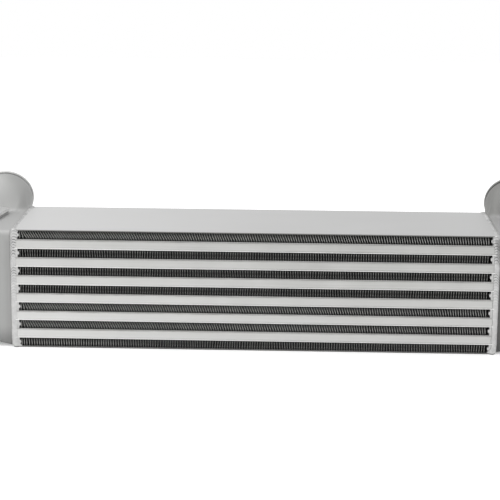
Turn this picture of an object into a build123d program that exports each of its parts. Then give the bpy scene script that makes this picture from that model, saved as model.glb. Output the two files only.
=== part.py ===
# Bar-and-plate intercooler: a brazed core between two cast end tanks.
# Millimetres. X runs from tank to tank, +Y to the rear, +Z up.
# Origin: middle of the core's underside.

from build123d import *
from math import cos, hypot, radians, sin, tan
import os

os.makedirs("parts", exist_ok=True)

# ---- Core block ----
core_width = 504.0  # between the end tanks
core_depth = 127.0  # front to rear, the way the cooling air passes
cooling_rows = 7  # rows open to the front and rear
cooling_height = 9.2  # clear height of a cooling row
charge_height = 8.8  # clear height of a charge air row
sheet_thickness = 0.6  # parting sheets between the rows
plate_thickness = 1.0  # top and bottom side plates

# ---- Closing bars ----
bar_setback = 0.4  # bar faces lie this far behind the sheet edges
cooling_bar_width = 5.2  # flat part, at the left and right ends
charge_bar_width = 7.0  # flat part, along the front and rear
bar_nose = 1.6  # pointed inner side, past the flat part
bar_edge_break = 0.5

# ---- Fins, one folded strip in each row ----
cooling_fin_pitch = 2.62  # from one wall to the next
cooling_fin_gauge = 0.3
cooling_fin_setback = 1.6  # behind the sheet edges, front and rear
charge_fin_pitch = 5.0
charge_fin_gauge = 0.4
charge_fin_setback = 1.0  # behind the core ends
fin_clearance = 0.4  # between a strip and the points of the bars beside it
braze_gap = 0.03  # filler film between a strip's crests and the sheets

# ---- End tanks ----
tank_reach = 68.0  # outboard of the core end
tank_setback = 2.0  # behind the core's front and rear faces
tank_drop = 1.4  # roof below the top of the core
tank_floor_gap = 1.5  # floor above the bottom of the core, at the joint
tank_floor_angle = 12.0  # the floor rises outboard
tank_wall = 4.0
tank_front_corner = 28.0  # corner radii seen from above
tank_rear_corner = 20.0
tank_roof_edge = 7.0  # edge radii of the casting
tank_floor_edge = 12.0

# ---- Necks on the tanks ----
neck_outboard = 36.0  # rim centre from the core end
neck_behind = 34.5  # rim centre behind the rear face of the core
neck_rise = 5.1  # rim centre above the top of the core
neck_tilt = 16.0  # the neck points up from level
neck_toe = 8.0  # and outboard from straight back
neck_radius = 31.0
lip_radius = 32.2
lip_length = 2.6
lip_edge = 0.9
groove_radius = 30.2
groove_length = 3.0
neck_bore_radius = 27.5  # machined seat for the pipe joiner
neck_bore_length = 16.0
hood_start = 12.0  # where the round neck begins to spread, from the rim
hood_front = 21.5  # where it has merged, ahead of the tank's rear face
hood_side_gap = 1.5  # from the tank's sides
hood_depth = 80.0  # height of the merged section
hood_corner = 12.0
hood_under_roof = 0.4

# ---- Mounting ears on the tank roofs ----
ear_thickness = 2.4
ear_inboard = 19.5  # inner edge from the core end
ear_taper = 7.5  # the front of that edge lies further outboard
ear_front = 20.0  # ahead of the core's centre line
ear_rear = 42.0  # behind it
ear_corner_cut = 12.0
ear_hole_outboard = 84.0  # from the core end
ear_hole_y = 11.0
ear_hole_radius = 4.5
ear_end_radius = 12.0
pad_height = 3.2  # cast seat under the ear
pad_margin = 1.0  # seat edge inside the ear's outline

# ---- Perimeter welds ----
weld_leg = 3.8  # along the tank
weld_edge_gap = 0.2  # inside the outline of the core
weld_corner = 2.0
weld_sink = 0.3  # outline of the bead's toe below the tank's skin

# ---- Worked out from the sizes above ----
sheet_pair = 2 * sheet_thickness
row_pitch = cooling_height + charge_height + sheet_pair
charge_rows = cooling_rows - 1
core_height = (
    2 * plate_thickness
    + cooling_rows * cooling_height
    + charge_rows * (charge_height + sheet_pair)
)
half_width = core_width / 2
half_depth = core_depth / 2
bar_face = half_depth - bar_setback
tank_half_depth = half_depth - tank_setback
tank_roof = core_height - tank_drop


def cooling_floor(row):
    # Height of the surface that a cooling row stands on, counted from the bottom.
    return plate_thickness + (row - 1) * row_pitch


def charge_floor(row):
    # Height of the surface that a charge air row stands on, counted from the bottom.
    return cooling_floor(row) + cooling_height + sheet_thickness


def fold_points(length, row_height, wall_pitch, gauge, row_floor):
    # Outline of a folded strip: sharp waves across the clear height of a row.
    walls = int(length // wall_pitch)
    start = -walls * wall_pitch / 2
    base = row_floor + braze_gap
    height = row_height - 2 * braze_gap
    fold = gauge * hypot(wall_pitch, height) / wall_pitch
    upper = []
    lower = []
    for step in range(walls + 1):
        across = start + step * wall_pitch
        crest = step % 2
        upper.append((across, base + (height if crest else fold)))
        lower.append((across, base + (height - fold if crest else 0)))
    return upper + lower[::-1]


def bar_points(flat, nose, height):
    # Section of a closing bar: outer face on zero, pointed side at flat + nose.
    return [(0, 0), (flat, 0), (flat + nose, height / 2), (flat, height), (0, height)]


# ---- Side plates and parting sheets ----
with BuildPart() as bottom_side_plate:
    with BuildSketch(Plane.XY):
        Rectangle(core_width, core_depth)
    extrude(amount=plate_thickness)
bottom_side_plate.part.label = "bottom_side_plate"
export_step(bottom_side_plate.part, "parts/bottom_side_plate.step")

with BuildPart() as top_side_plate:
    with BuildSketch(Plane.XY.offset(core_height - plate_thickness)):
        Rectangle(core_width, core_depth)
    extrude(amount=plate_thickness)
top_side_plate.part.label = "top_side_plate"
export_step(top_side_plate.part, "parts/top_side_plate.step")

for row in range(1, charge_rows + 1):
    under = charge_floor(row) - sheet_thickness
    over = charge_floor(row) + charge_height
    for number, level in ((2 * row - 1, under), (2 * row, over)):
        with BuildPart() as parting_sheet:
            with BuildSketch(Plane.XY.offset(level)):
                Rectangle(core_width, core_depth)
            extrude(amount=sheet_thickness)
        parting_sheet.part.label = f"parting_sheet_{number:02d}"
        export_step(parting_sheet.part, f"parts/parting_sheet_{number:02d}.step")

# ---- Cooling rows: folded fins between a left and a right closing bar ----
cooling_bar_total = cooling_bar_width + bar_nose
cooling_fin_length = core_width - 2 * (cooling_bar_total + fin_clearance)
cooling_fin_end = half_depth - cooling_fin_setback

for row in range(1, cooling_rows + 1):
    base = cooling_floor(row)
    outline = fold_points(
        cooling_fin_length, cooling_height, cooling_fin_pitch, cooling_fin_gauge, base
    )
    with BuildPart() as cooling_fin:
        with BuildSketch(Plane.XZ.offset(-cooling_fin_end)):
            with BuildLine():
                Polyline(*outline, close=True)
            make_face()
        extrude(amount=2 * cooling_fin_end)
    cooling_fin.part.label = f"cooling_fin_{row:02d}"
    export_step(cooling_fin.part, f"parts/cooling_fin_{row:02d}.step")

    section = bar_points(cooling_bar_width, bar_nose, cooling_height)
    with BuildPart() as cooling_bar_left:
        with BuildSketch(Plane.XZ.offset(-bar_face)):
            with BuildLine():
                Polyline(*[(x - half_width, z + base) for x, z in section], close=True)
            make_face()
        extrude(amount=2 * bar_face)
    cooling_bar_left.part.label = f"cooling_bar_left_{row:02d}"
    export_step(cooling_bar_left.part, f"parts/cooling_bar_left_{row:02d}.step")

    with BuildPart() as cooling_bar_right:
        mirror(cooling_bar_left.part, about=Plane.YZ)
    cooling_bar_right.part.label = f"cooling_bar_right_{row:02d}"
    export_step(cooling_bar_right.part, f"parts/cooling_bar_right_{row:02d}.step")

# ---- Charge air rows: folded fins between a front and a rear closing bar ----
charge_bar_total = charge_bar_width + bar_nose
charge_fin_length = 2 * (bar_face - charge_bar_total - fin_clearance)
charge_fin_end = half_width - charge_fin_setback

for row in range(1, charge_rows + 1):
    base = charge_floor(row)
    outline = fold_points(
        charge_fin_length, charge_height, charge_fin_pitch, charge_fin_gauge, base
    )
    with BuildPart() as charge_fin:
        with BuildSketch(Plane.YZ.offset(-charge_fin_end)):
            with BuildLine():
                Polyline(*outline, close=True)
            make_face()
        extrude(amount=2 * charge_fin_end)
    charge_fin.part.label = f"charge_fin_{row:02d}"
    export_step(charge_fin.part, f"parts/charge_fin_{row:02d}.step")

    section = bar_points(charge_bar_width, bar_nose, charge_height)
    with BuildPart() as charge_bar_front:
        with BuildSketch(Plane.YZ.offset(-half_width)) as profile:
            with BuildLine():
                Polyline(*[(y - bar_face, z + base) for y, z in section], close=True)
            make_face()
            chamfer(profile.vertices().group_by(Axis.X)[0], bar_edge_break)
        extrude(amount=core_width)
    charge_bar_front.part.label = f"charge_bar_front_{row:02d}"
    export_step(charge_bar_front.part, f"parts/charge_bar_front_{row:02d}.step")

    with BuildPart() as charge_bar_rear:
        mirror(charge_bar_front.part, about=Plane.XZ)
    charge_bar_rear.part.label = f"charge_bar_rear_{row:02d}"
    export_step(charge_bar_rear.part, f"parts/charge_bar_rear_{row:02d}.step")

# ---- End tanks: hollow castings, open to the core ----
neck_direction = Vector(
    sin(radians(neck_toe)) * cos(radians(neck_tilt)),
    cos(radians(neck_toe)) * cos(radians(neck_tilt)),
    sin(radians(neck_tilt)),
)
neck_rim = Vector(
    half_width + neck_outboard, half_depth + neck_behind, core_height + neck_rise
)
neck_plane = Plane(origin=neck_rim, x_dir=(-1, 0, 0), z_dir=neck_direction)
neck_section = Plane(origin=neck_rim, x_dir=neck_plane.x_dir, z_dir=-neck_plane.y_dir)
hood_width = tank_reach - 2 * hood_side_gap
hood_plane = Plane(
    origin=(
        half_width + tank_reach / 2,
        tank_half_depth - hood_front,
        tank_roof - hood_under_roof - hood_depth / 2,
    ),
    x_dir=(-1, 0, 0),
    z_dir=(0, 1, 0),
)


def plenum_form(inset, mouth):
    # Box of the right tank's skin, moved inwards by the inset, from the mouth outboard.
    end = half_width + tank_reach - inset
    half = tank_half_depth - inset
    roof = tank_roof - inset
    slope = tan(radians(tank_floor_angle))
    lift = tank_floor_gap + inset / cos(radians(tank_floor_angle))
    with BuildPart() as form:
        with BuildSketch(Plane.XY) as plan:
            with Locations((mouth, 0)):
                Rectangle(end - mouth, 2 * half, align=(Align.MIN, Align.CENTER))
            front_corner = plan.vertices().group_by(Axis.Y)[0].sort_by(Axis.X)[-1]
            fillet(front_corner, tank_front_corner - inset)
            rear_corner = plan.vertices().group_by(Axis.Y)[-1].sort_by(Axis.X)[-1]
            fillet(rear_corner, tank_rear_corner - inset)
        extrude(amount=roof)
        with BuildSketch(Plane.XZ.offset(-half)):
            with BuildLine():
                Polyline(
                    (mouth, lift + (mouth - half_width) * slope),
                    (end, lift + (end - half_width) * slope),
                    (end, roof),
                    (mouth, roof),
                    close=True,
                )
            make_face()
        extrude(amount=2 * half, mode=Mode.INTERSECT)
    return form.part


def hood_form(inset):
    # The neck's spread from its round barrel to the square shoulder of the tank.
    with BuildPart() as form:
        with BuildSketch(neck_plane.offset(-hood_start)):
            Circle(neck_radius - inset)
        with BuildSketch(hood_plane):
            RectangleRounded(
                hood_width - 2 * inset, hood_depth - 2 * inset, hood_corner - inset
            )
        loft()
    return form.part


with BuildPart() as tank_skin:
    add(plenum_form(0, half_width))
    roof_rim = tank_skin.faces().sort_by(Axis.Z)[-1].edges().sort_by(Axis.X)[1:]
    fillet(roof_rim, tank_roof_edge)
    floor_rim = tank_skin.faces().sort_by(Axis.Z)[0].edges().sort_by(Axis.X)[1:]
    fillet(floor_rim, tank_floor_edge)
    add(hood_form(0))

with BuildPart() as tank_cavity:
    add(plenum_form(tank_wall, half_width - tank_wall))
    floor_rim = tank_cavity.faces().sort_by(Axis.Z)[0].edges().sort_by(Axis.X)[1:]
    chamfer(floor_rim, tank_floor_edge / 2)
    add(hood_form(tank_wall))


def ear_outline(inset):
    # Plan of the ear, or of its seat when moved inwards by the inset.
    inner = half_width + ear_inboard + inset
    outer = half_width + tank_reach - tank_roof_edge
    with BuildSketch() as plan:
        with BuildLine():
            Polyline(
                (inner + ear_taper, -ear_front + inset),
                (outer, -ear_front + inset),
                (outer, ear_rear - inset),
                (inner + ear_corner_cut, ear_rear - inset),
                (inner, ear_rear - ear_corner_cut - inset),
                close=True,
            )
        make_face()
    return plan.sketch


with BuildPart() as right_end_tank:
    add(tank_skin.part)
    with BuildSketch(neck_section) as barrel:
        with BuildLine():
            Polyline(
                (0, 0),
                (lip_radius, 0),
                (lip_radius, -lip_length),
                (groove_radius, -lip_length),
                (groove_radius, -lip_length - groove_length),
                (neck_radius, -lip_length - groove_length),
                (neck_radius, -hood_start),
                (0, -hood_start),
                close=True,
            )
        make_face()
        lip_corners = barrel.vertices().sort_by(Axis((0, 0), (1, 0)))[-2:]
        chamfer(lip_corners, lip_edge)
    revolve(axis=Axis(neck_rim, neck_direction))
    with BuildSketch(Plane.XY.offset(tank_roof - tank_wall / 2)):
        add(ear_outline(pad_margin))
    extrude(amount=tank_wall / 2 + pad_height)
    add(tank_cavity.part, mode=Mode.SUBTRACT)
    with BuildSketch(neck_plane):
        Circle(neck_bore_radius)
    extrude(amount=-neck_bore_length, mode=Mode.SUBTRACT)

# ---- Perimeter welds: a tapered bead round each tank's mouth ----
bead_toe = half_width + weld_leg
bead_floor = tank_floor_gap + weld_leg * tan(radians(tank_floor_angle)) + weld_sink
bead_roof = tank_roof - weld_sink

with BuildPart() as right_tank_weld:
    with BuildSketch(Plane.YZ.offset(half_width)) as bead_root:
        with Locations((0, core_height / 2)):
            RectangleRounded(
                core_depth - 2 * weld_edge_gap, core_height - 2 * weld_edge_gap, weld_corner
            )
    with BuildSketch(Plane.YZ.offset(bead_toe)) as bead_end:
        with Locations((0, (bead_floor + bead_roof) / 2)):
            Rectangle(2 * (tank_half_depth - weld_sink), bead_roof - bead_floor)
        fillet(bead_end.vertices().group_by(Axis.Y)[-1], tank_roof_edge)
        fillet(bead_end.vertices().group_by(Axis.Y)[0], tank_floor_edge)
    loft()
    add(tank_skin.part, mode=Mode.SUBTRACT)

# ---- Mounting ears: flat tongues on the seats cast into the roofs ----
with BuildPart() as right_mount_ear:
    with BuildSketch(Plane.XY.offset(tank_roof + pad_height)):
        add(ear_outline(0))
        with Locations((half_width + ear_hole_outboard, ear_hole_y)):
            Circle(ear_end_radius)
        make_hull()
        with Locations((half_width + ear_hole_outboard, ear_hole_y)):
            Circle(ear_hole_radius, mode=Mode.SUBTRACT)
    extrude(amount=ear_thickness)
    add(tank_skin.part, mode=Mode.SUBTRACT)

# ---- The left end mirrors the right ----
end_pieces = {
    "end_tank": right_end_tank,
    "tank_weld": right_tank_weld,
    "mount_ear": right_mount_ear,
}
for name, right_piece in end_pieces.items():
    with BuildPart() as left_piece:
        mirror(right_piece.part, about=Plane.YZ)
    left_piece.part.label = f"left_{name}"
    right_piece.part.label = f"right_{name}"
    export_step(left_piece.part, f"parts/left_{name}.step")
    export_step(right_piece.part, f"parts/right_{name}.step")
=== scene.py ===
import bmesh
import bpy
import math
from mathutils import Matrix, Vector, kdtree, noise


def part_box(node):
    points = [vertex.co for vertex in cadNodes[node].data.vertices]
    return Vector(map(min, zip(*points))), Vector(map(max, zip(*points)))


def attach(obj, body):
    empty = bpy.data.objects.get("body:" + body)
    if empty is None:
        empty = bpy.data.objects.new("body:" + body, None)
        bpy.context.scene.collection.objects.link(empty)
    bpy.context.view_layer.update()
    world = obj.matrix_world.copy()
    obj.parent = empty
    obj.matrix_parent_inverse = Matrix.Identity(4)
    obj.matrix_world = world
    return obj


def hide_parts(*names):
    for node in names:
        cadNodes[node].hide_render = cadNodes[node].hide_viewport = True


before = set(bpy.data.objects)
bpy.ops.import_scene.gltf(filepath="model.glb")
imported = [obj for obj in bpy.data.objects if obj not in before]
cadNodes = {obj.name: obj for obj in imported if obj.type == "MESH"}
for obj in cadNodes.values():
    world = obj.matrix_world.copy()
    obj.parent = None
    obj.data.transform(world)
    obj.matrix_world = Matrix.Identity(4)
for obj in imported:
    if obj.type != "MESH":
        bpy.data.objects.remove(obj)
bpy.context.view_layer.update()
coreLow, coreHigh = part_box("bottom_side_plate")[0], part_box("top_side_plate")[1]
mergeGap = 0.00002  # vertices closer than this are one
print("frame loaded:", len(cadNodes), "nodes")


# small helpers for nodes, meshes and groups

def newGroup(name, inputs, outputs):
    # a shader group with plain named sockets
    group = bpy.data.node_groups.new(name, "ShaderNodeTree")
    for socketName, socketType, value in inputs:
        socket = group.interface.new_socket(name=socketName, in_out="INPUT", socket_type=socketType)
        if value is not None:
            socket.default_value = value
    for socketName in outputs:
        group.interface.new_socket(name=socketName, in_out="OUTPUT", socket_type="NodeSocketFloat")
    return group, group.nodes.new("NodeGroupInput"), group.nodes.new("NodeGroupOutput")


def addNode(tree, kind, **settings):
    node = tree.nodes.new(kind)
    for key, value in settings.items():
        setattr(node, key, value)
    return node


def mathNode(tree, operation, first, second=None, clamp=False):
    # one arithmetic step; each term is a socket or a number
    node = addNode(tree, "ShaderNodeMath", operation=operation, use_clamp=clamp)
    for index, term in enumerate((first, second)):
        if term is None:
            continue
        if isinstance(term, (int, float)):
            node.inputs[index].default_value = term
        else:
            tree.links.new(term, node.inputs[index])
    return node.outputs[0]


def timesNode(tree, first, *others):
    # the product of masks and shares
    for other in others:
        first = mathNode(tree, "MULTIPLY", first, other)
    return first


def bandNode(tree, value, start, full):
    # 0 before start, 1 after full
    band = addNode(tree, "ShaderNodeMapRange", interpolation_type="SMOOTHSTEP")
    band.inputs["From Min"].default_value = start
    band.inputs["From Max"].default_value = full
    tree.links.new(value, band.inputs["Value"])
    return band.outputs["Result"]


def offsetNode(tree, value, middle):
    # distance from a middle value
    return mathNode(tree, "ABSOLUTE", mathNode(tree, "SUBTRACT", value, middle))


def attributeNode(tree, name):
    return addNode(tree, "ShaderNodeAttribute", attribute_name=name).outputs["Fac"]


def finishMesh(name, bm, node, material):
    # a new piece that stands for a node of the frame
    mesh = bpy.data.meshes.new(name)
    bm.to_mesh(mesh)
    bm.free()
    piece = bpy.data.objects.new(name, mesh)
    bpy.context.scene.collection.objects.link(piece)
    piece.data.materials.append(material)
    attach(piece, "root")
    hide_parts(node)
    return piece


# effects that several finishes share

effects = {
    "lineDetail": 3.0, "lineRoughness": 0.65,
    "cloudDetail": 4.0, "cloudRoughness": 0.55,
    "pebbleDetail": 5.0, "pitSoftness": 0.6, "pitShare": 0.35,
    "grainShare": 0.5,  # of the change of colour; the cloud has the rest
}


def centredContrast(group, value, contrast):
    # spreads a value around its middle
    spread = mathNode(group, "MULTIPLY", mathNode(group, "SUBTRACT", value, 0.5), contrast)
    return mathNode(group, "ADD", spread, 0.5, clamp=True)


def makeGrainGroup():
    # fine lines left by brushing or rolling; Stretch is the number of lines along each axis
    group, entry, leave = newGroup(
        "grainLines",
        (("Vector", "NodeSocketVector", None),
         ("Stretch", "NodeSocketVector", (30.0, 900.0, 900.0)),
         ("Contrast", "NodeSocketFloat", 1.0)),
        ("Lines",),
    )
    scale = addNode(group, "ShaderNodeVectorMath", operation="MULTIPLY")
    group.links.new(entry.outputs["Vector"], scale.inputs[0])
    group.links.new(entry.outputs["Stretch"], scale.inputs[1])
    lines = addNode(group, "ShaderNodeTexNoise")
    lines.inputs["Scale"].default_value = 1.0
    lines.inputs["Detail"].default_value = effects["lineDetail"]
    lines.inputs["Roughness"].default_value = effects["lineRoughness"]
    group.links.new(scale.outputs[0], lines.inputs["Vector"])
    spread = centredContrast(group, lines.outputs["Fac"], entry.outputs["Contrast"])
    group.links.new(spread, leave.inputs["Lines"])
    return group


def makeMottleGroup():
    # slow cloudy change over a surface, from 0 to 1
    group, entry, leave = newGroup(
        "cloudyMottle",
        (("Vector", "NodeSocketVector", None), ("Size", "NodeSocketFloat", 18.0),
         ("Contrast", "NodeSocketFloat", 1.6)),
        ("Cloud",),
    )
    cloud = addNode(group, "ShaderNodeTexNoise")
    cloud.inputs["Detail"].default_value = effects["cloudDetail"]
    cloud.inputs["Roughness"].default_value = effects["cloudRoughness"]
    group.links.new(entry.outputs["Vector"], cloud.inputs["Vector"])
    group.links.new(entry.outputs["Size"], cloud.inputs["Scale"])
    spread = centredContrast(group, cloud.outputs["Fac"], entry.outputs["Contrast"])
    group.links.new(spread, leave.inputs["Cloud"])
    return group


def makeSkinGroup():
    # sand-cast skin: shallow pits and a fine pebble
    group, entry, leave = newGroup(
        "castSkin",
        (("Vector", "NodeSocketVector", None), ("Pebble", "NodeSocketFloat", 900.0),
         ("Pits", "NodeSocketFloat", 260.0)),
        ("Height",),
    )
    pebble = addNode(group, "ShaderNodeTexNoise")
    pebble.inputs["Detail"].default_value = effects["pebbleDetail"]
    group.links.new(entry.outputs["Vector"], pebble.inputs["Vector"])
    group.links.new(entry.outputs["Pebble"], pebble.inputs["Scale"])
    pits = addNode(group, "ShaderNodeTexVoronoi", feature="SMOOTH_F1")
    pits.inputs["Smoothness"].default_value = effects["pitSoftness"]
    group.links.new(entry.outputs["Vector"], pits.inputs["Vector"])
    group.links.new(entry.outputs["Pits"], pits.inputs["Scale"])
    soft = mathNode(group, "MULTIPLY", pits.outputs["Distance"], effects["pitShare"])
    group.links.new(mathNode(group, "ADD", pebble.outputs["Fac"], soft), leave.inputs["Height"])
    return group


def makeRowGroup():
    # Height is the place within one pair of rows; Face and Side are distances from the middle
    group, entry, leave = newGroup(
        "rowPlace",
        (("Vector", "NodeSocketVector", None), ("Base", "NodeSocketFloat", 0.001),
         ("Pitch", "NodeSocketFloat", 0.0192)),
        ("Height", "Face", "Side"),
    )
    split = addNode(group, "ShaderNodeSeparateXYZ")
    group.links.new(entry.outputs["Vector"], split.inputs[0])
    above = mathNode(group, "SUBTRACT", split.outputs["Z"], entry.outputs["Base"])
    height = mathNode(group, "FLOORED_MODULO", above, entry.outputs["Pitch"])
    group.links.new(height, leave.inputs["Height"])
    group.links.new(mathNode(group, "ABSOLUTE", split.outputs["Y"]), leave.inputs["Face"])
    group.links.new(mathNode(group, "ABSOLUTE", split.outputs["X"]), leave.inputs["Side"])
    return group


grainLines = makeGrainGroup()
cloudyMottle = makeMottleGroup()
castSkin = makeSkinGroup()
rowPlace = makeRowGroup()


# finishes: each colour and roughness moves between two ends

finishes = {
    "rolledPlate": {
        "dark": (0.44, 0.44, 0.438), "light": (0.53, 0.53, 0.528), "metallic": 0.55,
        "roughness": (0.42, 0.55), "stretch": (10.0, 260.0, 260.0), "grain": 0.8,
        "cloud": 1.3, "cloudSize": 8.0, "bump": 0.06, "depth": 0.0004,
    },
    # painted highlight: the sheets under the bars are nearly white
    "highlitSheet": {
        "dark": (0.84, 0.84, 0.83), "light": (1.0, 1.0, 0.99), "metallic": 0.2,
        "roughness": (0.3, 0.42), "stretch": (14.0, 300.0, 300.0), "grain": 0.9,
        "cloud": 2.2, "cloudSize": 60.0, "bump": 0.06, "depth": 0.0003,
    },
    # painted shade: the sheets over the bars are darker
    "shadedSheet": {
        "dark": (0.40, 0.40, 0.39), "light": (0.56, 0.56, 0.55), "metallic": 0.5,
        "roughness": (0.36, 0.5), "stretch": (14.0, 300.0, 300.0), "grain": 0.9,
        "cloud": 2.2, "cloudSize": 60.0, "bump": 0.06, "depth": 0.0003,
    },
    "brushedBar": {
        "dark": (0.38, 0.38, 0.366), "light": (0.57, 0.57, 0.556), "metallic": 0.55,
        "roughness": (0.34, 0.5), "stretch": (8.0, 520.0, 520.0), "grain": 1.5,
        "cloud": 1.8, "cloudSize": 20.0, "bump": 0.14, "depth": 0.0003,
    },
    "groundColumn": {
        "dark": (0.44, 0.44, 0.435), "light": (0.62, 0.62, 0.61), "metallic": 0.55,
        "roughness": (0.38, 0.55), "stretch": (500.0, 500.0, 120.0), "grain": 1.2,
        "cloud": 2.2, "cloudSize": 110.0, "bump": 0.18, "depth": 0.0003,
    },
    "brazedFin": {
        "dark": (0.40, 0.40, 0.38), "light": (0.66, 0.66, 0.63), "metallic": 0.2,
        "roughness": (0.45, 0.6), "stretch": (300.0, 60.0, 300.0), "grain": 1.4,
        "cloud": 2.4, "cloudSize": 70.0, "bump": 0.1, "depth": 0.0002,
    },
    "dullChargeFin": {
        "dark": (0.22, 0.22, 0.21), "light": (0.36, 0.36, 0.35), "metallic": 0.5,
        "roughness": (0.4, 0.6), "stretch": (60.0, 300.0, 300.0), "grain": 1.2,
        "cloud": 1.6, "cloudSize": 50.0, "bump": 0.1, "depth": 0.0002,
    },
    "leftCast": {
        "dark": (0.345, 0.348, 0.340), "light": (0.415, 0.415, 0.412), "metallic": 0.6,
        "roughness": (0.5, 0.62), "stretch": (700.0, 700.0, 700.0), "grain": 0.7,
        "cloud": 1.7, "cloudSize": 13.0, "bump": 0.16, "depth": 0.0002,
    },
    # painted shade: the right-hand casting is a darker copy of the same cast metal
    "shadedRightCast": {
        "dark": (0.19, 0.19, 0.182), "light": (0.27, 0.27, 0.262), "metallic": 0.6,
        "roughness": (0.5, 0.62), "stretch": (700.0, 700.0, 700.0), "grain": 0.7,
        "cloud": 1.7, "cloudSize": 13.0, "bump": 0.16, "depth": 0.0002,
    },
    "meltedWeld": {
        "dark": (0.40, 0.40, 0.40), "light": (0.66, 0.66, 0.65), "metallic": 0.7,
        "roughness": (0.22, 0.40), "stretch": (400.0, 400.0, 400.0), "grain": 1.0,
        "cloud": 2.2, "cloudSize": 140.0, "bump": 0.1, "depth": 0.0003,
    },
    "rolledEar": {
        "dark": (0.44, 0.44, 0.435), "light": (0.55, 0.55, 0.545), "metallic": 0.6,
        "roughness": (0.4, 0.55), "stretch": (20.0, 500.0, 500.0), "grain": 1.0,
        "cloud": 1.4, "cloudSize": 30.0, "bump": 0.1, "depth": 0.0003,
    },
}


def cloudNode(tree, place, size, contrast):
    # the shared mottle at its own size
    cloud = addNode(tree, "ShaderNodeGroup", node_tree=cloudyMottle)
    cloud.inputs["Size"].default_value = size
    cloud.inputs["Contrast"].default_value = contrast
    tree.links.new(place.outputs["Object"], cloud.inputs["Vector"])
    return cloud.outputs["Cloud"]


def metalBase(name, finish):
    # a metal whose change is driven by grain and cloud; the parts are kept for later tints
    material = bpy.data.materials.new(name)
    material.use_nodes = True
    tree = material.node_tree
    tree.nodes.clear()
    place = addNode(tree, "ShaderNodeTexCoord")
    grain = addNode(tree, "ShaderNodeGroup", node_tree=grainLines)
    grain.inputs["Stretch"].default_value = finish["stretch"]
    grain.inputs["Contrast"].default_value = finish["grain"]
    tree.links.new(place.outputs["Object"], grain.inputs["Vector"])
    cloud = cloudNode(tree, place, finish["cloudSize"], finish["cloud"])
    share = effects["grainShare"]
    blend = mathNode(tree, "ADD", mathNode(tree, "MULTIPLY", grain.outputs["Lines"], share),
                     mathNode(tree, "MULTIPLY", cloud, 1.0 - share))
    tone = addNode(tree, "ShaderNodeMix", data_type="RGBA")
    tone.inputs["A"].default_value = (*finish["dark"], 1.0)
    tone.inputs["B"].default_value = (*finish["light"], 1.0)
    tree.links.new(blend, tone.inputs["Factor"])
    rough = addNode(tree, "ShaderNodeMapRange")
    rough.inputs["To Min"].default_value, rough.inputs["To Max"].default_value = finish["roughness"]
    tree.links.new(grain.outputs["Lines"], rough.inputs["Value"])
    bump = addNode(tree, "ShaderNodeBump")
    bump.inputs["Strength"].default_value = finish["bump"]
    bump.inputs["Distance"].default_value = finish["depth"]
    tree.links.new(grain.outputs["Lines"], bump.inputs["Height"])
    shader = addNode(tree, "ShaderNodeBsdfPrincipled")
    shader.inputs["Metallic"].default_value = finish["metallic"]
    tree.links.new(tone.outputs["Result"], shader.inputs["Base Color"])
    tree.links.new(rough.outputs["Result"], shader.inputs["Roughness"])
    tree.links.new(bump.outputs["Normal"], shader.inputs["Normal"])
    leave = addNode(tree, "ShaderNodeOutputMaterial")
    tree.links.new(shader.outputs["BSDF"], leave.inputs["Surface"])
    return {"material": material, "tree": tree, "place": place, "shader": shader, "bump": bump}


metals = {name: metalBase(name, finish) for name, finish in finishes.items()}


# tints: second colours laid over the finishes; each pair of limits is where a mask is 0 and 1

def tintBy(metal, color, *masks):
    # lays a colour over a finish where the product of the masks is 1
    tree, base = metal["tree"], metal["shader"].inputs["Base Color"]
    over = addNode(tree, "ShaderNodeMix", data_type="RGBA")
    over.inputs["B"].default_value = (*color, 1.0)
    tree.links.new(base.links[0].from_socket, over.inputs["A"])
    tree.links.new(timesNode(tree, *masks), over.inputs["Factor"])
    tree.links.new(over.outputs["Result"], base)


def placeOf(metal):
    # X, Y and Z in the object's own frame
    split = addNode(metal["tree"], "ShaderNodeSeparateXYZ")
    metal["tree"].links.new(metal["place"].outputs["Object"], split.inputs[0])
    return split.outputs


def rowsOf(metal):
    # Height, Face and Side in the core's rows
    rows = addNode(metal["tree"], "ShaderNodeGroup", node_tree=rowPlace)
    metal["tree"].links.new(metal["place"].outputs["Object"], rows.inputs["Vector"])
    return rows.outputs


# painted light makes the side plates paler towards the left, and painted shade darkens their sawn
# edges
plateShade = {
    "leftward": (0.10, -0.26), "paintedLight": (0.62, 0.62, 0.618), "paintedLightShare": 0.6,
    "edge": (0.0631, 0.0634), "edgeColor": (0.17, 0.17, 0.165),
}


def shadePlates():
    metal = metals["rolledPlate"]
    tree, place, rows = metal["tree"], placeOf(metal), rowsOf(metal)
    leftward = bandNode(tree, place["X"], *plateShade["leftward"])
    # painted light towards the left, and painted shade on the edges
    tintBy(metal, plateShade["paintedLight"], leftward, plateShade["paintedLightShare"])
    tintBy(metal, plateShade["edgeColor"], bandNode(tree, rows["Face"], *plateShade["edge"]))


# painted light makes the sawn edges of the ears brighter than their faces
earShade = {"edge": (0.1305, 0.1303), "edgeColor": (0.78, 0.78, 0.77)}


def shadeEars():
    metal = metals["rolledEar"]
    edge = bandNode(metal["tree"], placeOf(metal)["Z"], *earShade["edge"])
    # painted light on the edges
    tintBy(metal, earShade["edgeColor"], edge)


# painted shade darkens the fins inwards from the open faces, on the returning walls, and more
# where they are brazed to the sheets; painted light makes crossed rows lighter at mid height, with
# a painted glint at the open face, and painted shade makes the other rows darker there
finShade = {
    "inwards": (0.0618, 0.0610), "inside": (0.022, 0.022, 0.021), "returning": (0.05, 0.05, 0.048),
    "foot": (0.0029, 0.0009), "crest": (0.0063, 0.0083), "paintedShade": (0.008, 0.008, 0.007),
    "sheetShadeAtFace": 0.55,  # and all of it further in
    "litHeight": 0.0034, "litReach": (0.0028, 0.0006),
    "lit": (0.52, 0.52, 0.505), "litShare": 0.15,  # further in
    "glint": (1.0, 1.0, 0.98), "glintShare": 0.2,  # at the open face
    "dimHeight": 0.0045, "dimReach": (0.0023, 0.0005), "dimShare": 0.6,
}


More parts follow.
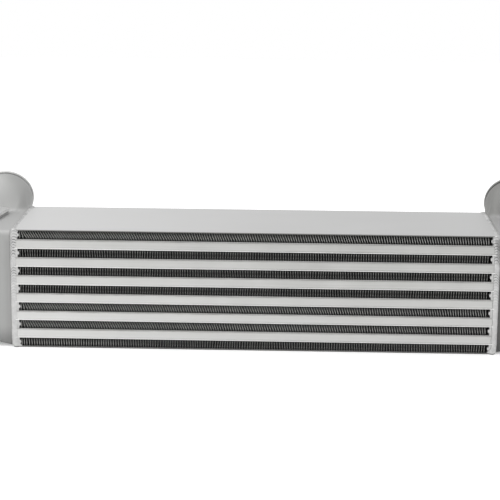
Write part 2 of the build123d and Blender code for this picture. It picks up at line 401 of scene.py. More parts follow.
def shadeFins():
    metal = metals["brazedFin"]
    tree, rows = metal["tree"], rowsOf(metal)
    inwards = bandNode(tree, rows["Face"], *finShade["inwards"])
    nearSheets = mathNode(tree, "MAXIMUM", bandNode(tree, rows["Height"], *finShade["foot"]),
                      bandNode(tree, rows["Height"], *finShade["crest"]))
    atFace = finShade["sheetShadeAtFace"]
    deeper = mathNode(tree, "ADD", mathNode(tree, "MULTIPLY", inwards, 1.0 - atFace), atFace)
    # painted shade on the returning walls, further in, and beside the sheets
    tintBy(metal, finShade["returning"], attributeNode(tree, "returning"))
    tintBy(metal, finShade["inside"], inwards)
    tintBy(metal, finShade["paintedShade"], nearSheets, deeper)
    crossed = attributeNode(tree, "crossed")
    offLit = offsetNode(tree, rows["Height"], finShade["litHeight"])
    offDim = offsetNode(tree, rows["Height"], finShade["dimHeight"])
    lit = timesNode(tree, bandNode(tree, offLit, *finShade["litReach"]), crossed)
    dim = timesNode(tree, bandNode(tree, offDim, *finShade["dimReach"]),
                    mathNode(tree, "SUBTRACT", 1.0, crossed))
    atOpening = mathNode(tree, "SUBTRACT", 1.0, inwards)
    # painted light and a painted glint at mid height of crossed rows, painted shade in the others
    tintBy(metal, finShade["lit"], lit, inwards, finShade["litShare"])
    tintBy(metal, finShade["glint"], lit, atOpening, finShade["glintShare"])
    tintBy(metal, finShade["paintedShade"], dim, finShade["dimShare"])


# painted light makes the bars paler low down and to the left, and painted shade darkens them in
# patches along their upper edges; a painted highlight runs along their lower edges on the left
barShade = {
    "lowBars": (0.125, 0.0), "lowPart": 0.55, "leftBars": (0.1, -0.26), "leftPart": 0.45,
    "paintedLight": (0.72, 0.72, 0.71), "paintedLightShare": 0.72,
    "upper": (0.0166, 0.0186), "patchSize": 55.0, "patchContrast": 2.4, "upperShade": (0.36, 0.36, 0.345),
    "lip": (0.0104, 0.0100), "lipHighlight": (1.0, 1.0, 0.99),
}


def shadeBars():
    metal = metals["brushedBar"]
    tree, place, rows = metal["tree"], placeOf(metal), rowsOf(metal)
    lowBars = bandNode(tree, place["Z"], *barShade["lowBars"])
    leftBars = bandNode(tree, place["X"], *barShade["leftBars"])
    paintedLightMask = mathNode(tree, "ADD", mathNode(tree, "MULTIPLY", lowBars, barShade["lowPart"]),
                     mathNode(tree, "MULTIPLY", leftBars, barShade["leftPart"]))
    # painted light low down and to the left, painted shade along the upper edges, and a painted
    # highlight along the lower edges
    tintBy(metal, barShade["paintedLight"], paintedLightMask, barShade["paintedLightShare"])
    patches = cloudNode(tree, metal["place"], barShade["patchSize"], barShade["patchContrast"])
    tintBy(metal, barShade["upperShade"], bandNode(tree, rows["Height"], *barShade["upper"]), patches)
    tintBy(metal, barShade["lipHighlight"], bandNode(tree, rows["Height"], *barShade["lip"]), leftBars)


# painted shade makes the noses of the closing bars, above and below their tips, as dark as the
# fins beside them
noseShade = {
    "nose": (0.2473, 0.2467), "tipHeight": 0.0046, "offTip": (0.0010, 0.0024),
    "color": (0.03, 0.03, 0.03),
}


def shadeNoses():
    metal = metals["groundColumn"]
    tree, rows = metal["tree"], rowsOf(metal)
    nose = bandNode(tree, rows["Side"], *noseShade["nose"])
    offTip = offsetNode(tree, rows["Height"], noseShade["tipHeight"])
    # painted shade above and below the tips
    tintBy(metal, noseShade["color"], nose, bandNode(tree, offTip, *noseShade["offTip"]))


# painted shade makes a dark seam where the weld beads end on the tanks, and a darker root and
# shoulder on the right-hand bead; a painted shadow darkens them where they meet the ground;
# dark valleys lie between the ripples
weldShade = {
    "color": (0.07, 0.07, 0.07), "seam": (0.94, 0.985), "roofSeam": 0.2, "valley": 4.5,
    "root": (0.14, 0.04), "rootShare": 0.45,
    "shoulderHeight": (0.086, 0.117), "shoulderSide": (0.15, 0.45), "shoulderShare": 0.5,
    "onRight": (0.0, 0.1), "belowRoof": (0.1245, 0.1215), "grounded": (0.0014, 0.0004),
}


def shadeWelds():
    metal = metals["meltedWeld"]
    tree, place, color = metal["tree"], placeOf(metal), weldShade["color"]
    across = attributeNode(tree, "across")
    onRight = bandNode(tree, place["X"], *weldShade["onRight"])
    belowRoof = bandNode(tree, place["Z"], *weldShade["belowRoof"])
    seamShown = mathNode(tree, "MAXIMUM", mathNode(tree, "MAXIMUM", onRight, belowRoof),
                         weldShade["roofSeam"])
    tintBy(metal, color, bandNode(tree, across, *weldShade["seam"]), seamShown)
    valley = attributeNode(tree, "valley")
    tintBy(metal, color, mathNode(tree, "MULTIPLY", valley, weldShade["valley"], clamp=True))
    root = bandNode(tree, across, *weldShade["root"])
    # painted shade on the right-hand bead's root and shoulder
    tintBy(metal, color, root, weldShade["rootShare"], onRight)
    shoulder = timesNode(tree, bandNode(tree, place["Z"], *weldShade["shoulderHeight"]),
                         bandNode(tree, across, *weldShade["shoulderSide"]))
    tintBy(metal, color, shoulder, onRight, belowRoof, weldShade["shoulderShare"])
    # painted shadow where the beads meet the ground
    tintBy(metal, color, bandNode(tree, place["Z"], *weldShade["grounded"]))


# the tanks' bump is their cast skin; tints for painted light on the roof's crown and the lip of
# the neck, and painted shade on the foot of the hood, the groove of the neck, the lower part, and
# the front beside the weld
castShade = {
    "crownHeight": (0.1225, 0.1248), "crownTop": (0.1300, 0.1262), "crownDepth": (0.056, 0.040),
    "crown": (0.44, 0.44, 0.44),
    "hoodTop": (0.152, 0.134), "hoodFoot": (0.1255, 0.1285), "hood": (0.19, 0.19, 0.185),
    "rim": (0.288, 0.098, 0.1315), "toe": 8.0, "tilt": 16.0,  # middle and turn of the neck's rim
    "grooveNear": (0.0027, 0.0030), "grooveFar": (0.0056, 0.0052),  # from the rim
    "groove": (0.04, 0.04, 0.04), "grooveShare": 0.85,
    "lipEnd": (0.0029, 0.0027), "lip": (0.85, 0.85, 0.84),
    "lowHeight": (0.024, 0.004), "low": (0.10, 0.10, 0.098), "lowShare": 0.5,
    "besideWeld": (0.2640, 0.2575), "belowRoof": (0.120, 0.112), "seam": (0.06, 0.06, 0.06),
}
# each tank's shares of the painted light and shade
castShares = {
    "leftCast": {"side": -1, "seam": 0.12, "crown": 0.42, "hood": 0.25, "lip": 0.6},
    "shadedRightCast": {"side": 1, "seam": 0.75, "crown": 0.6, "hood": 0.2, "lip": 0.05},
}


def alongNeckNode(metal, side):
    # distance from the neck's rim, down the neck
    tree = metal["tree"]
    toe, tilt = math.radians(castShade["toe"]), math.radians(castShade["tilt"])
    rimX, rimY, rimZ = castShade["rim"]
    fromRim = addNode(tree, "ShaderNodeVectorMath", operation="SUBTRACT")
    fromRim.inputs[0].default_value = (side * rimX, rimY, rimZ)
    tree.links.new(metal["place"].outputs["Object"], fromRim.inputs[1])
    alongNeck = addNode(tree, "ShaderNodeVectorMath", operation="DOT_PRODUCT")
    alongNeck.inputs[1].default_value = (
        side * math.sin(toe) * math.cos(tilt), math.cos(toe) * math.cos(tilt), math.sin(tilt))
    tree.links.new(fromRim.outputs[0], alongNeck.inputs[0])
    return alongNeck.outputs["Value"]


def shadeCasting(metal, shares):
    tree, place = metal["tree"], placeOf(metal)
    skin = addNode(tree, "ShaderNodeGroup", node_tree=castSkin)
    tree.links.new(metal["place"].outputs["Object"], skin.inputs["Vector"])
    tree.links.new(skin.outputs["Height"], metal["bump"].inputs["Height"])
    # painted light on the crown and lip; painted shade on the hood's foot, the groove, the lower
    # part and beside the weld
    crown = timesNode(tree, bandNode(tree, place["Z"], *castShade["crownHeight"]),
                      bandNode(tree, place["Y"], *castShade["crownDepth"]),
                      bandNode(tree, place["Z"], *castShade["crownTop"]))
    tintBy(metal, castShade["crown"], crown, shares["crown"])
    hoodFoot = timesNode(tree, bandNode(tree, place["Z"], *castShade["hoodTop"]),
                         bandNode(tree, place["Z"], *castShade["hoodFoot"]))
    tintBy(metal, castShade["hood"], hoodFoot, shares["hood"])
    alongNeck = alongNeckNode(metal, shares["side"])
    groove = timesNode(tree, bandNode(tree, alongNeck, *castShade["grooveNear"]),
                       bandNode(tree, alongNeck, *castShade["grooveFar"]))
    tintBy(metal, castShade["groove"], groove, castShade["grooveShare"])
    lip = bandNode(tree, alongNeck, *castShade["lipEnd"])
    tintBy(metal, castShade["lip"], lip, shares["lip"])
    low = bandNode(tree, place["Z"], *castShade["lowHeight"])
    tintBy(metal, castShade["low"], low, castShade["lowShare"])
    fromMiddle = mathNode(tree, "ABSOLUTE", place["X"])
    beside = timesNode(tree, bandNode(tree, fromMiddle, *castShade["besideWeld"]),
                       bandNode(tree, place["Z"], *castShade["belowRoof"]))
    tintBy(metal, castShade["seam"], beside, shares["seam"])


shadePlates()
shadeEars()
shadeFins()
shadeBars()
shadeNoses()
shadeWelds()
for name, shares in castShares.items():
    shadeCasting(metals[name], shares)


# each node of the frame gets the finish whose key is in its name

finishOfNode = {
    "side_plate": "rolledPlate", "parting_sheet": "highlitSheet", "charge_bar": "brushedBar",
    "cooling_bar": "groundColumn", "cooling_fin": "brazedFin", "charge_fin": "dullChargeFin",
    "left_end_tank": "leftCast", "right_end_tank": "shadedRightCast", "tank_weld": "meltedWeld",
    "mount_ear": "rolledEar",
}


def giveFinish(nodeName, nodeObject):
    for key, name in finishOfNode.items():
        if key not in nodeName:
            continue
        if key == "parting_sheet" and int(nodeName[-2:]) % 2 == 0:
            # the sheets over the bars carry painted shade, and the others a painted highlight
            name = "shadedSheet"  # the sheets over the bars
        for slot in nodeObject.material_slots:
            slot.material = metals[name]["material"]


for nodeName, nodeObject in cadNodes.items():
    giveFinish(nodeName, nodeObject)
print("finishes given to the frame")


# tanks: the castings again, with a sharper and lower foot, and a fillet where the hood rises

castTank = {
    "wall": (0.252, 0.320, 0.0615),  # joint and end, out from the middle, and half the depth
    "corner": (0.028, 0.020),  # seen from above, front and rear
    "floorEdge": 0.012,  # radius of the plain casting's lower edge
    "footShare": 0.30,  # of that radius
    "floorAngle": 12.0,
    "footDrop": 0.0014,
    "onSkin": 0.0002,  # a vertex this near to the floor or an edge lies on it
    "onArc": 0.0005,  # and this near to the round of the lower edge
    "sharpAngle": 32.0,  # edges above it are shaded sharp
}
hoodFillet = {
    "reach": 0.009,  # from the crease to each side
    "mesh": 0.0022,  # longest edge near the crease
    "margin": 0.003,  # past the reach
    "longEdge": 0.6,  # of its length; a longer edge is cut from further away
    "above": 0.055,  # nothing lower is cut
    "cuts": 10,
    "onCrease": 0.0006,  # from it; the spread over the skin starts there
    "passes": 30,  # of smoothing
    "creaseAngle": 16.0,  # a concave edge with more is a crease
    # where the hood meets the roof, the rear wall and the end, with X out from the middle
    "creases": (
        ((0.0, 0.0405, 0.1235), (1.0, 0.0625, 0.1275)),
        ((0.0, 0.0610, 0.0600), (1.0, 0.0625, 1.0)),
        ((0.3150, 0.0480, 0.0600), (1.0, 0.0630, 1.0)),
    ),
    "earPad": ((0.270, -1.0, 0.1253), (0.316, 0.0425, 1.0)),  # stays as it is
}


def isInside(point, box):
    # point with X out from the middle
    return all(low < value < high for value, low, high in zip(point, *box))


def outwards(point):
    return Vector((abs(point.x), point.y, point.z))


def tankEdge(x, y):
    # the nearest point of the tank's outline from above, and the way inwards
    end, half = castTank["wall"][1:]
    for corner, sign in zip(castTank["corner"], (-1.0, 1.0)):
        hub = Vector((end - corner, sign * (half - corner)))
        if x > hub.x and sign * (y - hub.y) > 0.0:
            way = (Vector((x, y)) - hub).normalized()
            return hub + way * corner, -way
    gaps = (
        (half + y, Vector((x, -half)), Vector((0.0, 1.0))),
        (half - y, Vector((x, half)), Vector((0.0, -1.0))),
        (end - x, Vector((end, y)), Vector((-1.0, 0.0))),
    )
    _, edge, inwards = min(gaps, key=lambda gap: gap[0])
    return edge, inwards


def lowerFoot(bm, side, floorAtJoint):
    # the round of the lower edge shrinks towards its sharp corner, and the floor drops
    joint, floorAngle = castTank["wall"][0], math.radians(castTank["floorAngle"])
    radius, onSkin = castTank["floorEdge"], castTank["onSkin"]
    slope, drop = math.tan(floorAngle), Vector((0.0, 0.0, castTank["footDrop"]))
    for vert in bm.verts:
        x, y, z = side * vert.co.x, vert.co.y, vert.co.z
        edge, inwards = tankEdge(x, y)
        hub = edge + inwards * radius
        hubLevel = floorAtJoint + (hub.x - joint) * slope + radius / math.cos(floorAngle)
        fromHub = (Vector((x, y, z)) - Vector((hub.x, hub.y, hubLevel))).length
        onArc = abs(fromHub - radius) < castTank["onArc"] and z < hubLevel + onSkin
        if onArc and (Vector((x, y)) - edge).length < radius + onSkin:
            corner = Vector((side * edge.x, edge.y, floorAtJoint + (edge.x - joint) * slope))
            vert.co = corner + (vert.co - corner) * castTank["footShare"] - drop
        elif abs(z - floorAtJoint - (x - joint) * slope) < onSkin:
            vert.co -= drop


def findCrease(bm):
    # the ends of the concave edges round the hood
    points = []
    for edge in bm.edges:
        if len(edge.link_faces) != 2 or edge.is_convex:
            continue
        if edge.calc_face_angle() < math.radians(hoodFillet["creaseAngle"]):
            continue
        middle = outwards((edge.verts[0].co + edge.verts[1].co) / 2)
        if any(isInside(middle, box) for box in hoodFillet["creases"]):
            points += [vert.co.copy() for vert in edge.verts]
    crease = kdtree.KDTree(len(points))
    for index, point in enumerate(points):
        crease.insert(point, index)
    crease.balance()
    return crease


def needsCut(edge, crease):
    # whether an edge is near the crease and still too long
    length, reach = edge.calc_length(), hoodFillet["reach"] + hoodFillet["margin"]
    if length <= hoodFillet["mesh"] or min(vert.co.z for vert in edge.verts) <= hoodFillet["above"]:
        return False
    middle = (edge.verts[0].co + edge.verts[1].co) / 2
    return crease.find(middle)[2] < max(reach, length * hoodFillet["longEdge"])


def filletHood(bm):
    # divides the skin on both sides of the crease and lets it sag into a fillet
    crease = findCrease(bm)
    for _ in range(hoodFillet["cuts"]):
        cut = [edge for edge in bm.edges if needsCut(edge, crease)]
        if not cut:
            break
        bmesh.ops.subdivide_edges(bm, edges=cut, cuts=1)
        bmesh.ops.triangulate(bm, faces=[face for face in bm.faces if len(face.verts) > 3])
    joint = castTank["wall"][0] + castTank["onSkin"]
    waiting = [vert for vert in bm.verts
               if crease.find(vert.co)[2] < hoodFillet["onCrease"] and abs(vert.co.x) > joint]
    chosen = set(waiting)
    while waiting:  # spreads over the skin, and not through the wall
        vert = waiting.pop()
        for edge in vert.link_edges:
            other = edge.other_vert(vert)
            if other in chosen or abs(other.co.x) <= joint:
                continue
            if crease.find(other.co)[2] < hoodFillet["reach"]:
                chosen.add(other)
                waiting.append(other)
    chosen = [vert for vert in chosen if not isInside(outwards(vert.co), hoodFillet["earPad"])]
    for _ in range(hoodFillet["passes"]):
        bmesh.ops.smooth_vert(
            bm, verts=chosen, factor=0.5, use_axis_x=True, use_axis_y=True, use_axis_z=True)


def castOne(side, node, material):
    bm = bmesh.new()
    bm.from_mesh(cadNodes[node].data)
    bmesh.ops.remove_doubles(bm, verts=bm.verts[:], dist=mergeGap)
    lowerFoot(bm, side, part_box(node)[0].z)
    filletHood(bm)
    for face in bm.faces:
        face.smooth = True
    for edge in bm.edges:
        edge.smooth = edge.calc_face_angle(0.0) < math.radians(castTank["sharpAngle"])
    return finishMesh(f"{node}Casting", bm, node, material)


for side, node, name in ((-1, "left_end_tank", "leftCast"), (1, "right_end_tank", "shadedRightCast")):
    casting = castOne(side, node, metals[name]["material"])
    print(node, "cast:", len(casting.data.polygons), "faces")


# cooling fins: lanced strips in every open row

finStrip = {
    "waveLength": 0.00262,
    "gauge": 0.00030,
    "embed": 0.6,  # of the gauge; the strip's surface stays this far inside the row
    "spread": 0.0012,  # past the plain strip, up to the tips of the closing bars
    "crestShare": 0.28,  # of a wave, walls included
    "wallRun": 0.07,  # sideways run of one wall, of a wave
    "bend": 0.04,  # sideways run of a bend, of a wave
    "bendRise": 0.07,  # and its height, of the row's
    "laneDepth": 0.0052,  # the walls of each lane stand beside those of the lane in front
    "frontLanes": 2,  # and as many at the rear, with one long lane between
    "longLane": 0.01,  # lanes from this depth on have no skew
    "laneShift": 0.5,  # of a wave
    "skew": 0.03,  # sideways run of a wall over its depth
    "slant": {7: 0.62, 6: 0.0, 5: 0.04, 4: -0.04, 3: 0.52, 2: 0.50, 1: 0.03},  # over its height
    "slantMiddle": 0.65, "slantFall": 0.35,  # share at the middle, and lost up to the right end
    "leanNoise": 0.16, "leanScale": 40.0, "leanSeed": (5.1, 1.7),
    "waver": 0.0005, "waverScale": 90.0, "waverSeed": (3.7, 0.3),
    "calmEnd": 0.006,  # the last waves stand straight beside the bars
    # crossed rows get painted light at mid height; row 1 gets it towards the left
    "crossedRows": (7, 3, 2),  # lighter at mid height
    "lowestRow": 0.35, "lightFrom": 0.06, "lightRun": 0.1,  # row 1 is light towards the left
}


def crossedShare(row, x):
    # how far a row gets painted light at mid height
    if row == 1:
        leftward = (-x - finStrip["lightFrom"]) / finStrip["lightRun"]
        return max(finStrip["lowestRow"], min(1.0, leftward))
    return 1.0 if row in finStrip["crossedRows"] else 0.0


def waveProfile():
    # places along one wave, and heights of the row
    share, run = finStrip["crestShare"], finStrip["wallRun"]
    bend, rise = finStrip["bend"], finStrip["bendRise"]
    return (
        (0.0, rise), (run, 1.0 - rise), (run + bend, 1.0), (share - run - bend, 1.0),
        (share - run, 1.0 - rise), (share, rise), (share + bend, 0.0), (1.0 - bend, 0.0),
    )


def foldLane(bm, low, high, front, back, shift, row, seed):
    # one lane of upright waves, folded from a flat grid
    height = high.z - low.z
    waves = round((high.x - low.x) / finStrip["waveLength"])
    wave, profile = (high.x - low.x) / waves, waveProfile()
    columns = waves * len(profile)
    firstReturn = len(profile) // 2  # from this step on, the profile comes down to the next wave
    laneSkew = finStrip["skew"] * (back - front) if back - front < finStrip["longLane"] else 0.0
    (waverStep, waverSeed), (leanStep, leanSeed) = finStrip["waverSeed"], finStrip["leanSeed"]
    returning, crossed = bm.verts.layers.float["returning"], bm.verts.layers.float["crossed"]
    made = bmesh.ops.create_grid(bm, x_segments=columns, y_segments=1, size=0.5)
    for vert in made["verts"]:
        count, step = divmod(round((vert.co.x + 0.5) * columns), len(profile))
        along, rise = profile[step]
        deep = vert.co.y > 0
        x = min(high.x, low.x + (count + along + shift) * wave)
        # the returning walls get painted shade
        vert[returning] = 1.0 if step >= firstReturn else 0.0
        vert[crossed] = crossedShare(row, x)
        sway = noise.noise(Vector((x * finStrip["waverScale"], seed * waverStep, waverSeed)))
        lean = finStrip["slantMiddle"] - finStrip["slantFall"] * x / high.x
        lean *= finStrip["slant"][row]
        unevenness = noise.noise(Vector((x * finStrip["leanScale"], row * leanStep, leanSeed)))
        lean += unevenness * finStrip["leanNoise"]
        sideways = sway * finStrip["waver"] + lean * (0.5 - rise) * height
        sideways += laneSkew if deep else 0.0
        calm = min(1.0, (high.x - abs(x)) / finStrip["calmEnd"])
        x += sideways * max(0.0, calm)
        vert.co = Vector((x, back if deep else front, low.z + rise * height))


def foldFins(row):
    node = f"cooling_fin_{row:02d}"
    low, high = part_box(node)
    gauge, depth, lanes = finStrip["gauge"], finStrip["laneDepth"], finStrip["frontLanes"]
    margin = Vector((-finStrip["spread"], 0.0, gauge * finStrip["embed"]))
    low, high = low + margin, high - margin
    edges = [low.y + lane * depth for lane in range(lanes + 1)]
    edges += [high.y - lane * depth for lane in range(lanes, -1, -1)]
    bm = bmesh.new()
    bm.verts.layers.float.new("returning")
    bm.verts.layers.float.new("crossed")
    for lane in range(len(edges) - 1):
        shift = finStrip["laneShift"] * (lane % 2)
        foldLane(bm, low, high, edges[lane], edges[lane + 1], shift, row, row * 10 + lane)
    bmesh.ops.solidify(bm, geom=bm.faces[:], thickness=gauge)
    bmesh.ops.recalc_face_normals(bm, faces=bm.faces[:])
    return finishMesh(f"foldedFin{row}", bm, node, metals["brazedFin"]["material"])


for row in range(1, 8):
    foldFins(row)
print("cooling fins folded")


# welds: a rippled bead round the mouth of each tank

weldBead = {
    "leg": 0.0038,  # onto the tank
    "overlap": 0.0030,  # onto the face of the core, and more at its corners
    "cornerOverlap": {"foot": 0.0050, "roof": 0.0030},
    "overlapNoise": 0.25, "overlapScale": 150.0, "overlapSeed": 4.0,
    "crown": 0.0008,
    "lump": 0.0014,  # more at the front foot corner, where the weld ends
    "ripple": 0.00042,
    "ripplePitch": 0.0030,
    "rippleNoise": 0.35, "rippleScale": 60.0, "rippleSeed": 9.0,
    "rippleEdge": 0.6,  # power; smaller is flatter, with narrower valleys
    "curl": 0.5,  # how far the ripples bow, of their pitch
    "rough": 0.00025, "roughScale": 220.0, "roughSeed": 2.0,
    "sections": 10,
    "sideSteps": 250,
    "cornerSteps": 20,
    "coreCorner": 0.001,
    "roofCorner": 0.007,  # of the tank
    "roofDrop": 0.0014,  # tank's roof below the core's
    "footSpread": (0.0040, 0.006),  # of the corner lump, in height and depth
    "roofSpread": 0.010,
    "fullFrom": 0.045, "fullOver": 0.060,  # the front bead is ground flat below, and whole above
    "groundCrown": 0.25,  # what grinding leaves
    "leastCrown": 0.45,
    "flank": 0.55,  # share of the width that rises from the core
    "archPower": 0.6,
    "underside": 0.85,  # flattened, so that the object stands level
    "sunk": 0.00025,  # the edges lie in the metal
    "valleyFrom": 0.3,  # where less of the bead is left, no valley is dark
    "valleyScale": 90.0, "valleySeed": 6.0,
    "wall": 0.0004,
    "clearance": 0.0001,  # over the ground
}


def roundedLoop(low, high, footRadius, roofRadius):
    # points and outward directions round a rectangle in Y and Z, clockwise from the front foot
    front, foot, rear, roof = low[0], low[1], high[0], high[1]
    hubs = (
        (Vector((front + footRadius, foot + footRadius)), footRadius, 1.5),
        (Vector((front + roofRadius, roof - roofRadius)), roofRadius, 1.0),
        (Vector((rear - roofRadius, roof - roofRadius)), roofRadius, 0.5),
        (Vector((rear - footRadius, foot + footRadius)), footRadius, 0.0),
    )
    points = []
    for index, (hub, radius, quarter) in enumerate(hubs):
        for step in range(weldBead["cornerSteps"]):
            angle = math.pi * (quarter - 0.5 * step / weldBead["cornerSteps"])
            way = Vector((math.cos(angle), math.sin(angle)))
            points.append((hub + way * radius, way))
        angle = math.pi * (quarter - 0.5)
        way = Vector((math.cos(angle), math.sin(angle)))
        nextHub, nextRadius, _ = hubs[(index + 1) % 4]
        for step in range(weldBead["sideSteps"]):
            share = step / weldBead["sideSteps"]
            points.append(((hub + way * radius).lerp(nextHub + way * nextRadius, share), way))
    return points


def fading(offset, reach):
    # 1 at no offset, and falling off over the reach
    return math.exp(-((offset / reach) ** 2))


def lumpNoise(depth, level, scale, seed):
    return noise.noise(Vector((depth * scale, level * scale, seed)))


def layBead(side, share, along, root, toe):
    # place of one point of the bead, and the depth of the valley it lies in
    (rootPoint, rootWay), (toePoint, toeWay) = root, toe
    depth, level = rootPoint  # front to rear, and height
    nearFoot = fading(level - weldBead["coreCorner"], weldBead["footSpread"][0])
    nearFoot *= fading(depth - coreLow.y, weldBead["footSpread"][1])
    nearRoof = fading(level - coreHigh.z, weldBead["roofSpread"])
    nearRoof *= fading(abs(depth) - coreHigh.y, weldBead["roofSpread"])
    overlap = weldBead["overlap"] + nearFoot * weldBead["cornerOverlap"]["foot"]
    overlap += nearRoof * weldBead["cornerOverlap"]["roof"]
    unevenness = lumpNoise(depth, level, weldBead["overlapScale"], weldBead["overlapSeed"] + side)
    overlap *= 1.0 + weldBead["overlapNoise"] * unevenness
    reach = -overlap + share * (overlap + weldBead["leg"])
    blend = max(0.0, reach / weldBead["leg"])
    point, way = rootPoint.lerp(toePoint, blend), rootWay.lerp(toeWay, blend).normalized()

    whole = min(1.0, max(0.0, (level - weldBead["fullFrom"]) / weldBead["fullOver"]))
    left = weldBead["groundCrown"]
    ground = 1.0 if depth > 0.0 else left + (1.0 - left) * max(nearRoof, whole)
    # the bead runs out thinly onto the core and stands steeper on the tank
    flank = min(1.0, share / weldBead["flank"])
    arch = flank * flank * (3.0 - 2.0 * flank)
    arch *= math.sin(math.pi * max(0.5, share)) ** weldBead["archPower"]
    phase = along / weldBead["ripplePitch"] + weldBead["curl"] * (2.0 * share - 1.0) ** 2
    stagger = lumpNoise(depth, level, weldBead["rippleScale"], weldBead["rippleSeed"])
    phase += weldBead["rippleNoise"] * stagger
    scallop = abs(math.sin(math.pi * phase)) ** weldBead["rippleEdge"]
    least = weldBead["leastCrown"]
    rise = weldBead["crown"] * (least + (1.0 - least) * ground) + weldBead["lump"] * nearFoot
    rise += weldBead["ripple"] * ground * (scallop - 0.5)
    roughness = lumpNoise(depth, level, weldBead["roughScale"], weldBead["roughSeed"])
    rise += weldBead["rough"] * roughness
    flattened = weldBead["underside"] if rootWay.y < -0.5 else 0.0
    rise = arch * rise * (1.0 - flattened) - weldBead["sunk"] * (1.0 - arch)
    lowest = coreLow.z + weldBead["clearance"]
    place = Vector((side * (coreHigh.x + reach), point.x + way.x * rise,
                    max(lowest, point.y + way.y * rise)))
    valley = (1.0 - scallop) ** 2 * max(0.0, ground - weldBead["valleyFrom"])
    valley *= 0.5 + lumpNoise(depth, level, weldBead["valleyScale"], weldBead["valleySeed"])
    return place, valley


def weldRing(side, node):
    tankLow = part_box(node.replace("tank_weld", "end_tank"))[0]
    floorRise = weldBead["leg"] * math.tan(math.radians(castTank["floorAngle"]))
    footSkin = tankLow.z - castTank["footDrop"] + floorRise
    footCorner = castTank["floorEdge"] * castTank["footShare"]
    coreCorner = weldBead["coreCorner"]
    root = roundedLoop((coreLow.y, coreLow.z), (coreHigh.y, coreHigh.z), coreCorner, coreCorner)
    toe = roundedLoop((tankLow.y, footSkin), (-tankLow.y, coreHigh.z - weldBead["roofDrop"]),
                      footCorner, weldBead["roofCorner"])
    count = len(root)
    run = [0.0]
    for index in range(count - 1):
        run.append(run[-1] + (root[index + 1][0] - root[index][0]).length)
    bm = bmesh.new()
    across = bm.verts.layers.float.new("across")
    valley = bm.verts.layers.float.new("valley")
    made = bmesh.ops.create_grid(
        bm, x_segments=count, y_segments=weldBead["sections"], size=0.5)
    for vert in made["verts"]:
        index, share = round((vert.co.x + 0.5) * count), vert.co.y + 0.5
        along = run[min(index, count - 1)]
        vert.co, vert[valley] = layBead(side, share, along, root[index % count], toe[index % count])
        vert[across] = share
    bmesh.ops.remove_doubles(bm, verts=bm.verts[:], dist=mergeGap)
    bmesh.ops.recalc_face_normals(bm, faces=bm.faces[:])
    bmesh.ops.solidify(bm, geom=bm.faces[:], thickness=weldBead["wall"])
    for face in bm.faces:
        face.smooth = True
    return finishMesh(f"{node}Bead", bm, node, metals["meltedWeld"]["material"])


for side, node in ((-1, "left_tank_weld"), (1, "right_tank_weld")):
    weldRing(side, node)
print("welds laid")


# floor, light and camera

studio = {
    "floorSize": 6.0, "floorGap": 0.0002, "floorColor": (0.9, 0.9, 0.9), "floorGlow": 0.35,
    "worldStrength": 0.78, "aimHeight": 0.06,
    "keySize": 2.4, "keyPower": 13.0, "keyPlace": (-0.9, -0.8, 1.9),
    "topSize": 1.6, "topPower": 6.0, "topPlace": (-0.9, 0.2, 1.5),
}
shot = {
    "place": (0.04079, -1.66182, 0.46387), "turn": 0.02813, "dip": 0.21878, "roll": 0.0083,
    "focal": 1577.04, "frameWidth": 500.0, "sensor": 36.0,
}
white = (1.0, 1.0, 1.0, 1.0)


def seenNode(tree):
    # 1 for the rays that show the background, directly or in the metal
    path = addNode(tree, "ShaderNodeLightPath")
    seen = mathNode(tree, "MAXIMUM", path.outputs["Is Camera Ray"], path.outputs["Is Glossy Ray"])
    return mathNode(tree, "MAXIMUM", seen, path.outputs["Is Transmission Ray"])


def chooseNode(tree, mask, first, second):
    # the first shader where the mask is 0, and the second where it is 1
    choose = addNode(tree, "ShaderNodeMixShader")
    for index, socket in enumerate((mask, first, second)):
        tree.links.new(socket, choose.inputs[index])
    return choose.outputs[0]


def lampNode(tree, kind, strength):
    # a plain white glow or background
    lamp = addNode(tree, kind)
    lamp.inputs["Color"].default_value = white
    lamp.inputs["Strength"].default_value = strength
    return lamp.outputs[0]


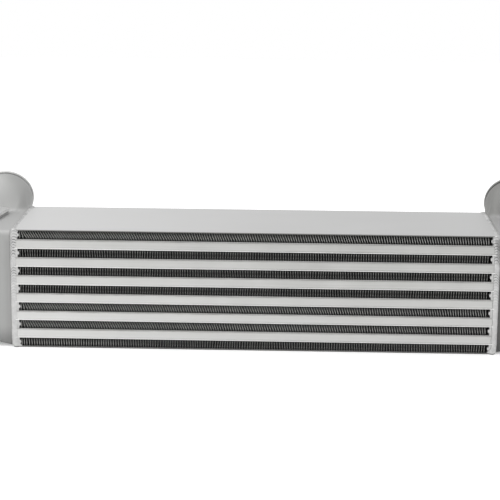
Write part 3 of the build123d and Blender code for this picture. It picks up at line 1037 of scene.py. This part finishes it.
def makeFloor():
    bm = bmesh.new()
    bmesh.ops.create_grid(bm, x_segments=1, y_segments=1, size=studio["floorSize"] / 2)
    level = Vector((0.0, 0.0, coreLow.z - studio["floorGap"]))
    bmesh.ops.translate(bm, verts=bm.verts, vec=level)
    mesh = bpy.data.meshes.new("studioFloor")
    bm.to_mesh(mesh)
    bm.free()
    floor = bpy.data.objects.new("studioFloor", mesh)
    bpy.context.scene.collection.objects.link(floor)
    material = bpy.data.materials.new("paleFloor")
    material.use_nodes = True
    tree = material.node_tree
    tree.nodes.clear()
    base = addNode(tree, "ShaderNodeBsdfDiffuse")
    base.inputs["Color"].default_value = (*studio["floorColor"], 1.0)
    lift = addNode(tree, "ShaderNodeAddShader")
    tree.links.new(base.outputs[0], lift.inputs[0])
    tree.links.new(lampNode(tree, "ShaderNodeEmission", studio["floorGlow"]), lift.inputs[1])
    paper = chooseNode(tree, seenNode(tree), base.outputs[0], lift.outputs[0])
    below = addNode(tree, "ShaderNodeNewGeometry").outputs["Backfacing"]
    clear = addNode(tree, "ShaderNodeBsdfTransparent")  # the object is seen from below too
    leave = addNode(tree, "ShaderNodeOutputMaterial")
    tree.links.new(chooseNode(tree, below, paper, clear.outputs[0]), leave.inputs["Surface"])
    floor.data.materials.append(material)


def makeWorld():
    world = bpy.data.worlds.new("softRoom")
    bpy.context.scene.world = world
    world.use_nodes = True
    tree = world.node_tree
    tree.nodes.clear()
    room = lampNode(tree, "ShaderNodeBackground", studio["worldStrength"])
    backdrop = lampNode(tree, "ShaderNodeBackground", 1.0)
    leave = addNode(tree, "ShaderNodeOutputWorld")
    tree.links.new(chooseNode(tree, seenNode(tree), room, backdrop), leave.inputs["Surface"])


def makeLamp(name, place, size, power):
    data = bpy.data.lights.new(name, "AREA")
    data.shape = "DISK"
    data.size = size
    data.energy = power
    lamp = bpy.data.objects.new(name, data)
    bpy.context.scene.collection.objects.link(lamp)
    lamp.location = place
    aim = Vector((0.0, 0.0, studio["aimHeight"])) - Vector(place)
    lamp.rotation_euler = aim.to_track_quat("-Z", "Y").to_euler()


def makeCamera():
    # lens and place for a square picture
    data = bpy.data.cameras.new("shotCamera")
    data.sensor_width = shot["sensor"]
    data.sensor_fit = "HORIZONTAL"
    data.lens = shot["focal"] / shot["frameWidth"] * data.sensor_width
    camera = bpy.data.objects.new("shotCamera", data)
    bpy.context.scene.collection.objects.link(camera)
    turn = Matrix.Rotation(shot["turn"], 3, "Z")
    dip = Matrix.Rotation(math.pi / 2 - shot["dip"], 3, "X")
    roll = Matrix.Rotation(shot["roll"], 3, "Z")
    camera.location = shot["place"]
    camera.rotation_euler = (turn @ dip @ roll).to_euler()
    bpy.context.scene.camera = camera


makeFloor()
makeWorld()
makeLamp("keyLamp", studio["keyPlace"], studio["keySize"], studio["keyPower"])
makeLamp("topLamp", studio["topPlace"], studio["topSize"], studio["topPower"])
makeCamera()
bpy.context.scene.view_settings.view_transform = "Standard"
print("studio ready")
